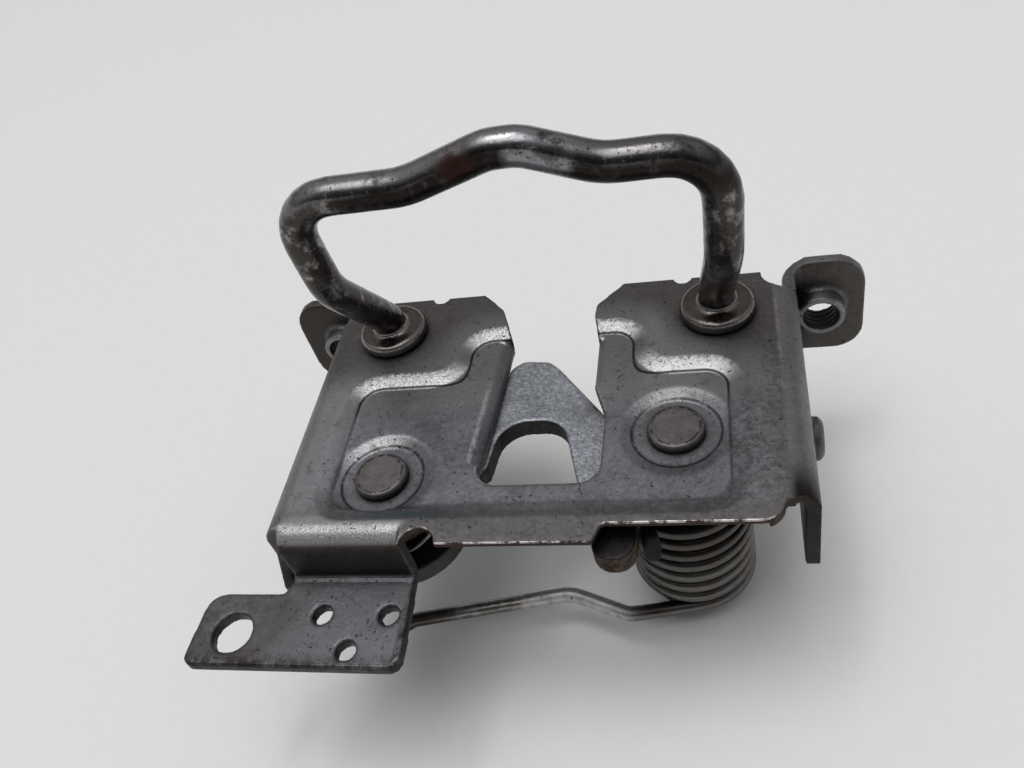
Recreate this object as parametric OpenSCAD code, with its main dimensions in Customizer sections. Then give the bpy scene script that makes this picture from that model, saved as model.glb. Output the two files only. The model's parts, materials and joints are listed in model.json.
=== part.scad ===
// Bonnet latch: folded sheet frame, bent striker hoop, forked catch and hooked pawl on riveted spindles.
// X runs across the frame from its centre line, Y up the plate, Z out of its front face.
// The origin is midway between the two ear threads, on the face that meets the car body.

/* [Frame sheet] */
// Thickness of the folded sheet
sheet_t = 2.5; // [2:0.1:3]
// Width over the two side flanges
frame_w = 96; // [92:1:100]
// Outer radius of the long side bends
side_bend_r = 4.5; // [4:0.1:5.5]
// Distance from the ear face down to the top edge of the plate
plate_top = 6.4; // [6:0.1:7]
// Distance from the ear face down to the right part of the bottom edge
edge_right = 65.5; // [64.5:0.1:66]
// Distance from the ear face down to the middle part of the bottom edge
edge_mid = 69; // [68.5:0.1:70]
// Depth of the side flanges behind the sunk field, at the ears
flange_depth = 25; // [23:0.5:27]
// Depth of the side flanges at their lower ends
flange_depth_low = 19; // [17:0.5:21]
// Lower end of the right flange, below the ear face
right_end = 60.5; // [59:0.1:61]
// Lower end of the left flange, below the ear face
left_end = 65.2; // [64.4:0.1:65.4]
// Radius of the pressed button on the right flange
button_r = 4; // [3:0.1:5]
// Height of the pressed button
button_h = 2.2; // [1:0.1:3]
// Distance from the ear face down to the button
button_y = 40.3; // [38:0.1:44]
// Depth of the button behind the sunk field
button_depth = 10; // [9:0.1:11]

/* [Embossing] */
// Step between the raised border and the sunk field
rim_h = 1.2; // [0.8:0.1:1.4]
// Sharp part of that step, at the foot of the slope
coin_h = 0.25; // [0.1:0.05:0.4]
// Width of the slope around the sunk field
slope_w = 3; // [2:0.1:4]
// Width of the raised border on the left
border_left = 11.2; // [10.5:0.1:12]
// Width of the raised border on the right
border_right = 13.4; // [12.5:0.1:14]
// Top of the wide part of the sunk field, below the ear face
field_top = 31.2; // [30:0.1:32]
// Bottom of the sunk field, below the ear face
field_bottom = 60.6; // [60:0.1:61]
// Left side of the field's tongue beside the slot, from the centre line
tongue_left = 15.5; // [14.5:0.1:17]
// Right side of the field's tongue beside the slot
tongue_right = 17.3; // [16:0.1:18]
// Top of those tongues, below the ear face
tongue_top = 19.5; // [18.5:0.1:21]
// Radius of the flat seat round each rivet head
seat_r = 7.9; // [7:0.1:8.5]
// Depth of the seat below the field
seat_depth = 0.9; // [0.6:0.1:1.1]

/* [Slot] */
// Left side of the slot, from the centre line
slot_left = 7.5; // [7:0.1:8]
// Lean of the slot's left side, from the top of the field to the slot's bottom
slot_lean = 2.4; // [1:0.1:3]
// Right side of the slot above the catch
slot_right = 10; // [9:0.1:10.5]
// Right side of the slot at the catch
slot_right_low = 12.5; // [11.5:0.1:13]
// Bottom of the slot, below the ear face
slot_bottom = 56; // [55:0.1:57]
// Widening of the mouth on the left
mouth_left = 7.5; // [6:0.1:8.5]
// Widening of the mouth on the right
mouth_right = 4.5; // [3:0.1:6]
// Rounding of the slot's right front edge
slot_edge_r = 1.8; // [1:0.1:2]
// Gap between the slot's rolled left edge and the catch
roll_gap = 0.3; // [0.3:0.05:0.6]

/* [Ears] */
// Distance of each ear thread from the outside of its flange
ear_bolt_out = 5; // [4.5:0.1:7]
// Length of the right ear from the outside of its flange
right_ear_reach = 13.8; // [12:0.1:16]
// Length of the left ear from the outside of its flange
left_ear_reach = 15.4; // [12:0.1:16]
// Depth of the ears' front edges behind the sunk field
ear_front = 1; // [0:0.1:2]
// Bore of the tapped collars, tap size of an 8 mm thread
ear_bore_d = 6.8; // [5:0.1:7.2]
// Outside diameter of the collars
ear_collar_d = 9.6; // [9:0.1:10.4]
// Height of the collars
ear_collar_h = 3.5; // [2.5:0.1:4.5]
// Depth of the threads behind the sunk field
ear_axis_depth = 12.5; // [11.5:0.1:13.5]

/* [Cable tab] */
// Distance from the ear face down to the outside of the tab wall
wall_y = 68.2; // [67.8:0.1:69]
// Depth of the tab face behind the sunk field
tab_depth = 10; // [9:0.1:11]
// Width of the tab wall
tab_w = 23.4; // [20:0.1:25]
// Distance of the tab wall from the outside of the left flange
tab_in = 3.6; // [3.4:0.1:5]
// Reach of the tab wing past the outside of the left flange
wing_out = 12.3; // [10:0.1:15]
// Bottom edge of the tab, below the ear face
tab_bottom = 85.6; // [84:0.1:90]
// Top edge of the tab wing, below the ear face
wing_top = 71.6; // [71:0.1:72.5]
// Diameter of the cable hole
cable_hole_d = 7.5; // [5:0.1:9]
// Distance of the cable hole past the outside of the left flange
cable_out = 5.2; // [4:0.1:7]
// Height of the cable hole above the bottom edge of the tab
cable_up = 6.2; // [5:0.1:8]
// Diameter of the three clip holes
clip_hole_d = 3.6; // [2.5:0.1:4.5]
// Distance between the two upper clip holes
clip_pitch = 12.5; // [9:0.1:14]
// Height of the lower clip hole above the bottom edge of the tab
clip_up = 3.2; // [2.8:0.1:4.5]
// Step from the lower clip hole to the upper ones
clip_step = 6.7; // [5:0.1:7.4]

/* [Hoop] */
// Diameter of the bar
hoop_d = 6.8; // [6:0.1:8]
// Distance of each foot from the outside of its flange
hoop_in = 15; // [14:0.5:16]
// Distance from the ear face down to the feet
hoop_y = 17; // [16:0.1:18]
// Height of the cross bar above the sunk field
hoop_h = 43; // [38:0.5:50]
// Height of the knees in the legs
knee_h = 23; // [18:0.5:26]
// Lean of the knees towards the slot bottom
knee_lean = 10; // [4:0.5:12]
// Spread of the right leg, from its foot to its top corner
right_spread = 3; // [2:0.1:4]
// Spread of the left leg, from its foot to its top corner
left_spread = 5; // [3:0.1:6]
// Height of the hump in the middle of the bar
hump_h = 5; // [3:0.1:7]
// Shift of the hump to the right
hump_x = 2.8; // [-2:0.1:4]
// Length of the hump's flanks
hump_ramp = 15; // [13:0.5:18]
// Diameter of the swaged collars
hoop_collar_d = 14.2; // [13:0.1:15]
// Height of the swaged collars
hoop_collar_h = 2.8; // [2:0.1:4]
// Diameter of the riveted necks
hoop_neck_d = 7.2; // [6:0.1:8]

/* [Catch] */
// Thickness of the catch and the pawl
lever_t = 4.2; // [3.8:0.1:4.6]
// Position of the catch pivot from the centre line
catch_x = 25.3; // [25:0.1:25.6]
// Position of the catch pivot below the ear face
catch_y = 45.2; // [44.9:0.1:45.5]
// Radius of the hub
catch_hub_r = 11.5; // [10.8:0.1:12]
// Radius that the tip of the hook sweeps
tip_r = 39.5; // [39.2:0.1:39.7]
// Depth of the ledge that the pawl holds
ledge_w = 4.6; // [4:0.1:5]
// Height of the tip below the ledge
tip_h = 9.3; // [8.5:0.1:10]
// Height of the arm's top above the pivot
arm_rise = 23; // [21:0.1:23.4]
// Left end of the arm's top, inside the circle that the tip sweeps
arm_left = 6.2; // [5.5:0.1:7.5]
// Width of the arm's top
arm_top_w = 8; // [6:0.1:9]
// Top of the arch above the pivot
arch_rise = 6.8; // [6:0.1:7.4]
// Left side of the arch, inside the circle that the tip sweeps
arch_left = 6.4; // [6.1:0.1:6.9]
// Width of the arch
arch_w = 11.8; // [11.6:0.1:12.4]
// Left side of the tail, from the pivot
tail_left = 14; // [13.6:0.1:14.4]
// Width of the tail
tail_w = 7.4; // [7:0.1:7.8]
// Length of the tail below the pivot
tail_len = 24; // [22:0.1:26]

/* [Pawl] */
// Position of the pawl pivot from the centre line
pawl_x = 27.6; // [27.3:0.1:27.9]
// Position of the pawl pivot below the ear face
pawl_y = 53.5; // [53.2:0.1:53.8]
// Radius of the hub
pawl_hub_r = 10; // [9:0.1:10.4]
// Swing between engaged and lifted clear, the pose drawn
pawl_lift = 14; // [13.5:0.1:15]
// Gap over the ledge and beside the tip when engaged
hook_gap = 0.3; // [0.3:0.05:0.5]
// Height of the hook's nose
nose_h = 3.4; // [2.5:0.1:4]
// Width of the hook's shank
shank_w = 7.6; // [6:0.1:9]
// Radius of the cable eye's rim
eye_r = 4.2; // [3.6:0.1:4.4]
// Bore of the cable eye
eye_bore_d = 4.4; // [3:0.1:5]
// Gap between the eye and the left flange
eye_gap = 0.8; // [0.5:0.1:2]
// Radius of the black drum behind the pawl
drum_r = 12; // [10:0.1:12.4]
// Radius of the drum's neck
drum_neck_r = 6.4; // [6:0.1:6.6]
// Length of the black drum
drum_len = 4; // [3:0.1:6]

/* [Pins and springs] */
// Diameter of the necks riveted through the sheet
pin_neck_d = 8; // [7:0.1:8.4]
// Diameter of the rivet heads
head_d = 10; // [9:0.1:11]
// Diameter of the catch spindle
catch_pin_d = 10; // [9:0.1:10.4]
// Diameter of the pawl spindle
pawl_pin_d = 9; // [8.4:0.1:9.4]
// Height of the rivet heads below their chamfer
head_h = 1.5; // [1.2:0.1:1.8]
// Chamfer of the rivet heads
head_chamfer = 0.4; // [0.2:0.1:0.6]
// Radius of the catch spindle's rear head
catch_rear_r = 7.5; // [7:0.1:8]
// Height of the catch spindle's rear head
catch_rear_h = 2; // [1.6:0.1:2.4]
// Radius of the pawl spindle's rear head
pawl_rear_r = 6.5; // [6:0.1:7]
// Height of the pawl spindle's rear head
pawl_rear_h = 1.6; // [1.4:0.1:2]
// Running clearance on the radius of both pivots
pivot_clearance = 0.05; // [0.03:0.01:0.09]
// Wire of the main spring
wire_d = 3.2; // [3:0.1:3.3]
// Mean radius of the main coil
coil_r = 10.8; // [10.4:0.05:11]
// Pitch of the main coil
coil_pitch = 3.55; // [3.4:0.01:3.6]
// Full turns of the main coil
coil_turns = 7; // [6:1:7]
// Gap between the catch and the first turn
coil_gap = 3.3; // [2.5:0.1:4]
// Wire of the pawl spring
small_wire_d = 1.6; // [1.4:0.1:1.7]
// Mean radius of the pawl spring
small_coil_r = 7.9; // [7.6:0.1:8.4]
// Radius of the washer behind the drum
pawl_washer_r = 8; // [7.5:0.1:9]
// Thickness of the rear washers
washer_t = 2; // [1.5:0.1:3]

/* [Hidden] */
$fn = 64;
eps = 0.01;
big = 200;
run_gap = 0.2;
half_w = frame_w / 2;
ledge_a = 172.5;
in_half_w = half_w - sheet_t;
field_left = half_w - border_left;
field_right = half_w - border_right;
rim_back = rim_h - sheet_t;
seat_back = -sheet_t - seat_depth;
side_in_r = side_bend_r - sheet_t;
ear_bolt_x = half_w + ear_bolt_out;
tab_left = half_w - tab_in;
tab_right = tab_left - tab_w;
hoop_x = half_w - hoop_in;
catch_pos = [catch_x, -catch_y];
pawl_pos = [-pawl_x, -pawl_y];
lever_front = seat_back - run_gap;
roll_r = -lever_front - roll_gap;
slot_r = 4;
roll_top = tongue_top + 0.5;
roll_len = slot_bottom - roll_top;
roll_side = roll_len - slot_r - 0.5;
slot_step = catch_y - 12;
lever_back = lever_front - lever_t;
spool_front = lever_back - run_gap;
coil_front = lever_back - coil_gap - wire_d / 2;
drum_front = spool_front - 6;
drum_back = drum_front - drum_len;
tail_edge = catch_x - tail_left + tail_w;
spring_push = [tail_edge + wire_d / 2 + 0.3, -catch_y - tail_len + 6];
leg_dip = [catch_x - 12.8, -catch_y - 13.1];
coil_start = tangent_start(spring_push - catch_pos, coil_r);
coil_sweep = 360 * coil_turns + 360 + coil_start - tangent_end(leg_dip - catch_pos, coil_r);
coil_back = coil_front - coil_pitch * coil_sweep / 360;
spool_back = coil_back - wire_d / 2 - 0.3;
zinc = [0.56, 0.57, 0.59];
dark_steel = [0.33, 0.32, 0.31];
pale_zinc = [0.66, 0.68, 0.71];
black = [0.07, 0.07, 0.07];

// Angles at which a straight leg from d joins a coil of radius r that runs clockwise.
function bearing(d) = (atan2(d.y, d.x) + 360) % 360;
function tangent_start(d, r) = bearing(d) - acos(r / norm(d));
function tangent_end(d, r) = bearing(d) + acos(r / norm(d));

// Moves everything from the sunk field's face to the ear threads.
module place() {
    translate([0, 0, ear_axis_depth]) children();
}

function unit(v) = v / norm(v);
function at(c, r, a) = c + r * [cos(a), sin(a)];

// Arc of radius r that rounds the corner p1 of a path, in the plane or in space.
function bend(p0, p1, p2, r, n) =
    r == 0 ? [p1] :
    let (a = unit(p0 - p1), b = unit(p2 - p1), half = acos(a * b) / 2)
    let (c = p1 + unit(a + b) * r / sin(half), s = p1 + a * r / tan(half) - c)
    let (q = p1 + b * r / tan(half) - c, e1 = unit(s), e2 = unit(q - e1 * (q * e1)))
    [for (i = [0:n]) c + r * (e1 * cos((180 - 2 * half) * i / n) + e2 * sin((180 - 2 * half) * i / n))];

// Closed outline from a list of [corner, radius].
function outline(p, n = 6) =
    let (m = len(p))
    [for (i = [0:m - 1]) each bend(p[(i + m - 1) % m][0], p[i][0], p[(i + 1) % m][0], p[i][1], n)];

// Open path from a list of [corner, radius].
function wire_path(p, n = 6) =
    let (m = len(p))
    concat([p[0][0]],
           [for (i = [1:m - 2]) each bend(p[i - 1][0], p[i][0], p[i + 1][0], p[i][1], n)],
           [p[m - 1][0]]);

// Direction of a path at one of its points.
function heading(path, i) = unit(path[min(i + 1, len(path) - 1)] - path[max(i - 1, 0)]);

// Side direction carried along a path without twist, from a first guess.
function level(u, t) = unit(u - t * (u * t));
function carried(path, guess) =
    [for (i = 0, u = level(guess, heading(path, 0)); i < len(path);
          i = i + 1, u = level(u, heading(path, min(i, len(path) - 1)))) u];

// Round bar along a path; guess is a direction across its start.
module sweep(path, r, guess, sides) {
    n = len(path);
    across = carried(path, guess);
    points = [for (i = [0:n - 1]) let (u = across[i], v = cross(heading(path, i), u))
        for (k = [0:sides - 1]) path[i] + r * (u * cos(360 * k / sides) + v * sin(360 * k / sides))];
    skin = [for (i = [0:n - 2]) for (k = [0:sides - 1])
        let (a = i * sides + k, b = i * sides + (k + 1) % sides)
        [a, a + sides, b + sides, b]];
    start = [for (k = [0:sides - 1]) k];
    end = [for (k = [sides - 1:-1:0]) (n - 1) * sides + k];
    polyhedron(points, concat(skin, [start, end]), convexity = 10);
}

// Ring slice of a bend, a quarter turn from +X to +Y, along Z.
module bend_ring(r_in, r_out, h) {
    intersection() {
        difference() {
            cylinder(h = h, r = r_out);
            translate([0, 0, -1]) cylinder(h = h + 2, r = r_in);
        }
        translate([0, 0, -1]) cube([r_out + 1, r_out + 1, h + 2]);
    }
}

// Rectangle with round corners, from one corner to the other.
module round_rect(p, q, r) {
    translate([p.x + r, p.y]) square([q.x - p.x - 2 * r, q.y - p.y]);
    translate([p.x, p.y + r]) square([q.x - p.x, q.y - p.y - 2 * r]);
    for (x = [p.x + r, q.x - r], y = [p.y + r, q.y - r]) translate([x, y]) circle(r);
}

// Pan with sloped sides: a round rectangle that grows by s over its height.
module pan(p, q, r, h, s) {
    for (x = [p.x + r, q.x - r], y = [p.y + r, q.y - r])
        translate([x, y, 0]) cylinder(h = h, r1 = r, r2 = r + s);
    translate([p.x + r, 0, 0]) rotate([90, 0, 90]) linear_extrude(q.x - p.x - 2 * r)
        polygon([[p.y, 0], [q.y, 0], [q.y + s, h], [p.y - s, h]]);
    translate([0, q.y - r, 0]) rotate([90, 0, 0]) linear_extrude(q.y - p.y - 2 * r)
        polygon([[p.x, 0], [q.x, 0], [q.x + s, h], [p.x - s, h]]);
}

field_r = 4.5;
tongue_r = 4.5;
inner_r = 7;
tongue_side = [tongue_right, tongue_left];

// Sunk field in plan, grown on all sides.
module field_plan(grow) {
    g = [grow, grow];
    round_rect([-field_left, -field_bottom] - g, [field_right, -field_top] + g, field_r + grow);
    round_rect([-tongue_left, -field_bottom] - g, [tongue_right, -tongue_top] + g, tongue_r + grow);
    for (s = [0, 1]) mirror([s, 0]) translate([tongue_side[s], -field_top]) difference() {
        translate([-1, -1]) square(inner_r + 1);
        translate([inner_r, inner_r]) circle(inner_r - grow);
    }
}

// Sunk field as a cut with its sharp foot and sloped sides.
module field_cut() {
    h = rim_h - coin_h;
    linear_extrude(coin_h + eps) field_plan(0);
    translate([0, 0, coin_h]) {
        pan([-field_left, -field_bottom], [field_right, -field_top], field_r, h, slope_w);
        pan([-tongue_left, -field_bottom], [tongue_right, -tongue_top], tongue_r, h, slope_w);
        for (s = [0, 1]) mirror([s, 0, 0]) translate([tongue_side[s], -field_top, 0]) difference() {
            translate([-1, -1, 0]) cube([inner_r + 1, inner_r + 1, h]);
            translate([inner_r, inner_r, -eps]) cylinder(h = h + 2 * eps, r1 = inner_r, r2 = inner_r - slope_w);
        }
    }
}

// Front plate with its two side flanges, before cutting.
module channel() {
    y0 = -edge_mid;
    len_y = edge_mid - plate_top;
    translate([0, -plate_top, 0]) rotate([90, 0, 0]) linear_extrude(len_y) difference() {
        union() {
            translate([-half_w, -flange_depth]) square([frame_w, flange_depth + rim_h - side_bend_r]);
            translate([-half_w + side_bend_r, 0]) square([frame_w - 2 * side_bend_r, rim_h]);
            for (s = [-1, 1]) translate([s * (half_w - side_bend_r), rim_h - side_bend_r]) circle(side_bend_r);
        }
        translate([-in_half_w, -flange_depth - 1])
            square([2 * in_half_w, flange_depth + 1 + rim_h - side_bend_r]);
        translate([-in_half_w + side_in_r, -flange_depth])
            square([2 * (in_half_w - side_in_r), flange_depth + rim_back]);
        for (s = [-1, 1]) translate([s * (half_w - side_bend_r), rim_h - side_bend_r]) circle(side_in_r);
    }
}

ear_bend_in = 1.5;
ear_notch_z = -3.6;

// Ear on the right: the flange turns outward into a face square to the plate.
module ear(reach) {
    span = half_w + reach;
    bend_x = half_w + ear_bend_in;
    bend_y = -sheet_t - ear_bend_in;
    profile = outline([[[in_half_w - 1, ear_notch_z], 0], [[in_half_w, ear_notch_z], 1],
                       [[half_w + 2.6, -ear_front], 4], [[span, -ear_front], 6.5],
                       [[span, -flange_depth], 6], [[in_half_w - 1, -flange_depth], 0]]);
    intersection() {
        union() {
            translate([bend_x, -sheet_t, -big / 2]) cube([reach, sheet_t, big]);
            translate([bend_x, bend_y, -big / 2]) mirror([1, 0, 0])
                bend_ring(ear_bend_in, ear_bend_in + sheet_t, big);
            translate([in_half_w, -plate_top - 2, -big / 2]) cube([sheet_t, plate_top + 2 + bend_y, big]);
        }
        rotate([90, 0, 0]) translate([0, 0, -1]) linear_extrude(20) polygon(profile);
    }
    translate([ear_bolt_x, -sheet_t - ear_collar_h, -ear_axis_depth]) rotate([-90, 0, 0])
        cylinder(h = ear_collar_h + 1, d = ear_collar_d);
}

wall_bend_r = 4;
tab_bend_in = 1;

// Wall that drops from the bottom edge, and the tab that turns down from it.
module tab() {
    bend_z = rim_h - wall_bend_r;
    foot_z = -tab_depth + tab_bend_in;
    top = -wall_y - tab_bend_in;
    wing_x = -half_w - wing_out;
    translate([-tab_left, 0, 0]) {
        translate([0, -wall_y + wall_bend_r - eps, rim_back]) cube([tab_w, 0.5, sheet_t]);
        translate([0, -wall_y + wall_bend_r, bend_z]) rotate([90, 0, 90]) mirror([1, 0, 0])
            bend_ring(wall_bend_r - sheet_t, wall_bend_r, tab_w);
        translate([0, -wall_y, foot_z]) cube([tab_w, sheet_t, bend_z - foot_z]);
        translate([0, top, foot_z]) rotate([90, 0, 90]) mirror([0, 1, 0])
            bend_ring(tab_bend_in, tab_bend_in + sheet_t, tab_w);
    }
    translate([0, 0, -tab_depth - sheet_t]) linear_extrude(sheet_t)
        polygon(outline([[[-tab_right, top], 0], [[-tab_left, top], 0], [[-tab_left - 1.3, -wing_top], 1],
                         [[wing_x, -wing_top], 3.5], [[wing_x - 1, -tab_bottom], 2],
                         [[-tab_right + 0.8, -tab_bottom], 2.5]]));
}

module tab_holes() {
    clip = [-tab_right - 9.5, -tab_bottom + clip_up];
    translate([-half_w - cable_out, -tab_bottom + cable_up, -big / 2]) cylinder(h = big, d = cable_hole_d);
    for (p = [clip, clip + [-clip_pitch / 2, clip_step], clip + [clip_pitch / 2, clip_step]])
        translate([p.x, p.y, -big / 2]) cylinder(h = big, d = clip_hole_d);
}

// Slot in plan, with its widened mouth.
module slot_plan() {
    top = -plate_top + 0.1;
    mouth = [-slot_left - mouth_left, slot_right + mouth_right];
    polygon(outline([[[-slot_left - slot_lean, -slot_bottom], slot_r], [[slot_right_low, -slot_bottom], slot_r],
                     [[slot_right_low, -catch_y + 4.5], 2], [[slot_right, -slot_step], 2],
                     [[slot_right, -roll_top - 1], 0], [[slot_right - 1, -15], 1.5], [[slot_right - 0.8, -12.4], 1.5],
                     [[slot_right + 1.6, -9.6], 1], [[mouth[1], top], 0], [[mouth[1], 1], 0], [[mouth[0], 1], 0],
                     [[mouth[0], top], 0], [[-slot_left - 2.8, -11.5], 1], [[-slot_left - 1.2, -16], 1],
                     [[-slot_left, -roll_top], 0]]));
}

// Cut that rounds a front edge running along Y, material on the +X side.
module edge_round(h, r) {
    rotate([90, 0, 0]) linear_extrude(h) difference() {
        translate([-1, -r]) square([r + 1, r + 2]);
        translate([r, -r]) circle(r);
    }
}

// Sheet under the slot's left edge, which is rolled back to guide the striker.
module slot_roll() {
    at_roll() translate([-roll_r, -roll_side, -roll_r]) cube([roll_r + 1, roll_side, roll_r]);
}

module at_roll() {
    translate([-slot_left, -roll_top, 0]) rotate([0, 0, -atan(slot_lean / roll_len)]) children();
}

// Rivet seat: a shallow dish with a flat floor.
module seat_cut() {
    cone_h = seat_depth - coin_h + 0.05;
    translate([0, 0, -seat_depth]) cylinder(h = 3, r = seat_r);
    translate([0, 0, -cone_h + 0.05]) cylinder(h = cone_h, r1 = seat_r, r2 = seat_r + 2.4);
}

// Bottom edge on the right: its step up from the middle part, its round corner and the foot of the flange.
module right_foot_cut() {
    corner_x = half_w - side_bend_r - 1;
    corner_r = 4;
    low = -edge_mid - 1;
    linear_extrude(big) {
        polygon([[12, low], [13.6, -edge_right], [half_w + 1, -edge_right], [half_w + 1, low]]);
        difference() {
            translate([corner_x - corner_r, -edge_right - 1]) square([big, corner_r + 1]);
            translate([corner_x - corner_r, -edge_right + corner_r]) circle(corner_r);
            translate([corner_x - 2 * corner_r, -edge_right - 2]) square([corner_r, corner_r + 2]);
        }
        translate([corner_x, -big - right_end - 1.2]) square([big, big]);
        translate([half_w - side_bend_r + 0.6, -big - right_end]) square([big, big]);
    }
}

// Foot of the left flange, which leans out towards the tab wing.
module left_foot_cut() {
    translate([-half_w - 1, 0, 0]) rotate([90, 0, 90]) linear_extrude(tab_in + 1)
        polygon([[-left_end, 10], [-left_end, -7], [-left_end - 3.2, -tab_depth - 3.2],
                 [-left_end - 3.2, -big], [-big, -big], [-big, 10]]);
}

module frame_cuts() {
    through = [0, 0, -big / 2];
    field_cut();
    translate(through) linear_extrude(big) slot_plan();
    at_roll() mirror([1, 0, 0]) edge_round(roll_side, roll_r - 0.4);
    translate([slot_right, -roll_top - 1, 0]) edge_round(slot_step - roll_top - 1, slot_edge_r);
    for (p = [catch_pos, pawl_pos]) translate(p) {
        seat_cut();
        translate(through) cylinder(h = big, d = pin_neck_d);
    }
    for (s = [-1, 1]) {
        translate([s * hoop_x, -hoop_y, 0] + through) cylinder(h = big, d = hoop_neck_d);
        translate([0.7 + s * 25.6, -plate_top + 0.3, 0] + through) cylinder(h = big, r = 1.7);
        translate([s * (half_w - 2.6), -plate_top - 0.2, ear_notch_z]) cylinder(h = big, r = 3.9);
    }
    translate(through) right_foot_cut();
    left_foot_cut();
    translate([-tab_left, -big - wall_y + wall_bend_r, 0] + through) cube([tab_w, big, big]);
    translate([-tab_right + 3.6, -edge_mid + 0.3, 0] + through) cylinder(h = big, r = 3);
    // rear edges of the flanges
    for (s = [0, 1]) mirror([s, 0, 0]) translate([in_half_w - 1, 0, 0]) rotate([90, 0, 90]) linear_extrude(sheet_t + 2)
        polygon([[-30, -flange_depth - 1], [-30, -flange_depth], [-46, -flange_depth_low],
                 [-80, -flange_depth_low], [-80, -flange_depth - 1]]);
}

module frame() {
    color(zinc) place() {
        difference() {
            union() {
                channel();
                translate([0, 0, -sheet_t]) linear_extrude(sheet_t + coin_h) field_plan(2);
                slot_roll();
                for (p = [catch_pos, pawl_pos]) translate([p.x, p.y, seat_back]) cylinder(h = 3, r = seat_r + 2.9);
                translate([half_w - 1, -button_y, -button_depth]) rotate([0, 90, 0]) button();
            }
            frame_cuts();
            translate([in_half_w - 1, -button_y, -button_depth]) rotate([0, 90, 0])
                cylinder(h = button_h + 0.4, r = button_r - 1.4);
        }
        difference() {
            union() {
                ear(right_ear_reach);
                mirror([1, 0, 0]) ear(left_ear_reach);
                tab();
            }
            for (s = [-1, 1]) translate([s * ear_bolt_x, 5, -ear_axis_depth]) rotate([90, 0, 0])
                cylinder(h = 20, d = ear_bore_d);
            tab_holes();
        }
    }
}

// Pressed button, domed at its rim.
module button() {
    cylinder(h = button_h + 0.2, r = button_r);
    translate([0, 0, button_h + 0.2]) cylinder(h = 0.8, r1 = button_r, r2 = button_r - 1);
}

// Corners of one leg from its foot up, s being its side.
function hoop_leg(s, spread) =
    let (foot = [s * hoop_x, -hoop_y, rim_h + hoop_collar_h - 0.5], top_y = -hoop_y - knee_lean)
    [[foot, 0], [foot + [0, 0, 2.6], 5.5], [[s * (hoop_x + 0.75 * spread), top_y, knee_h], 12],
     [[s * (hoop_x + spread), top_y, hoop_h], 8.5]];

module hoop() {
    top_w = 2.6;
    rise = [0, 0, hump_h];
    bar_at = [0, -hoop_y - knee_lean, hoop_h];
    bar = [[bar_at + [hump_x + hump_ramp, 0, 0], 14], [bar_at + rise + [hump_x + top_w, 0, 0], 8],
           [bar_at + rise + [hump_x - top_w, 0, 0], 8], [bar_at + [hump_x - hump_ramp - 3, 0, 0], 16]];
    right = hoop_leg(1, right_spread);
    left = hoop_leg(-1, left_spread);
    chamfer = 0.6;
    tail_out = 1.9;
    color(dark_steel) place() {
        sweep(wire_path(concat(right, bar, [for (i = [3:-1:0]) left[i]]), 6), hoop_d / 2, [1, 0, 0], 16);
        for (s = [-1, 1]) translate([s * hoop_x, -hoop_y, 0]) {
            translate([0, 0, rim_h]) cylinder(h = hoop_collar_h - chamfer, d = hoop_collar_d);
            translate([0, 0, rim_h + hoop_collar_h - chamfer])
                cylinder(h = chamfer, d1 = hoop_collar_d, d2 = hoop_collar_d - 2 * chamfer);
            translate([0, 0, rim_back - 1]) cylinder(h = sheet_t + 2, d = hoop_neck_d);
            translate([0, 0, rim_back - 1.1]) cylinder(h = 1.1, d = hoop_neck_d + 2 * tail_out);
            translate([0, 0, rim_back - 1.6])
                cylinder(h = 0.5, d1 = hoop_neck_d + tail_out, d2 = hoop_neck_d + 2 * tail_out);
        }
    }
}

// Catch in plan: arm over the slot, ledge and tip behind the left half, arch for the striker, tail below.
function catch_outline() =
    let (c = catch_pos, tail_r = tail_w / 2 - 0.05)
    let (arm = c + [arm_left - tip_r, arm_rise], arch = c + [arch_left - tip_r, arch_rise])
    outline([[arm - [0, 2.1], 2], [arm + [2.4, 0], 2.5], [arm + [arm_top_w, -0.7], 3],
             [arm + [arm_top_w + 2.2, -3], 3], [c + [-12.8, 6.5], 2], [c + [-5.3, 9.2], 0], [c + [7, 0], 0],
             [c + [-1.3, -10.8], 0], [c + [tail_w - tail_left, -13.6], 3],
             [c + [tail_w - tail_left, -tail_len], tail_r], [c + [-tail_left, -tail_len], tail_r],
             [c + [-tail_left - 0.2, -14.8], 6], [arch + [arch_w + 3.6, -13.8], 8],
             [arch + [arch_w, 0], 5.5], [arch, 6], [arch + [-1.5, -11.8], 1.2],
             [at(c, tip_r, ledge_a) - [0, tip_h], 1], [at(c, tip_r, ledge_a), 0.4],
             [at(c, tip_r - ledge_w, ledge_a - 2), 0.8], [arm + [-2.2, -11.8], 3]]);

module catch() {
    color(pale_zinc) place() translate([0, 0, lever_back]) difference() {
        union() {
            linear_extrude(lever_t) polygon(catch_outline());
            translate(catch_pos) cylinder(h = lever_t, r = catch_hub_r);
        }
        translate([catch_pos.x, catch_pos.y, -1]) cylinder(h = lever_t + 2, r = catch_pin_d / 2 + pivot_clearance);
    }
}

// Riveted pin: formed front head in its seat, neck through the sheet, shaft and rear head.
module spindle(pos, d, shaft_end, rear_r, rear_h) {
    translate(pos) {
        translate([0, 0, -seat_depth]) cylinder(h = head_h, d = head_d);
        translate([0, 0, head_h - seat_depth])
            cylinder(h = head_chamfer, d1 = head_d, d2 = head_d - 2 * head_chamfer);
        translate([0, 0, seat_back - 1]) cylinder(h = sheet_t + 1.5, r = pin_neck_d / 2);
        translate([0, 0, shaft_end]) cylinder(h = seat_back - shaft_end, d = d);
        translate([0, 0, shaft_end - rear_h]) cylinder(h = rear_h, r = rear_r);
        translate([0, 0, shaft_end - rear_h - 0.5]) cylinder(h = 0.5, r1 = rear_r - 0.8, r2 = rear_r);
    }
}

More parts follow.
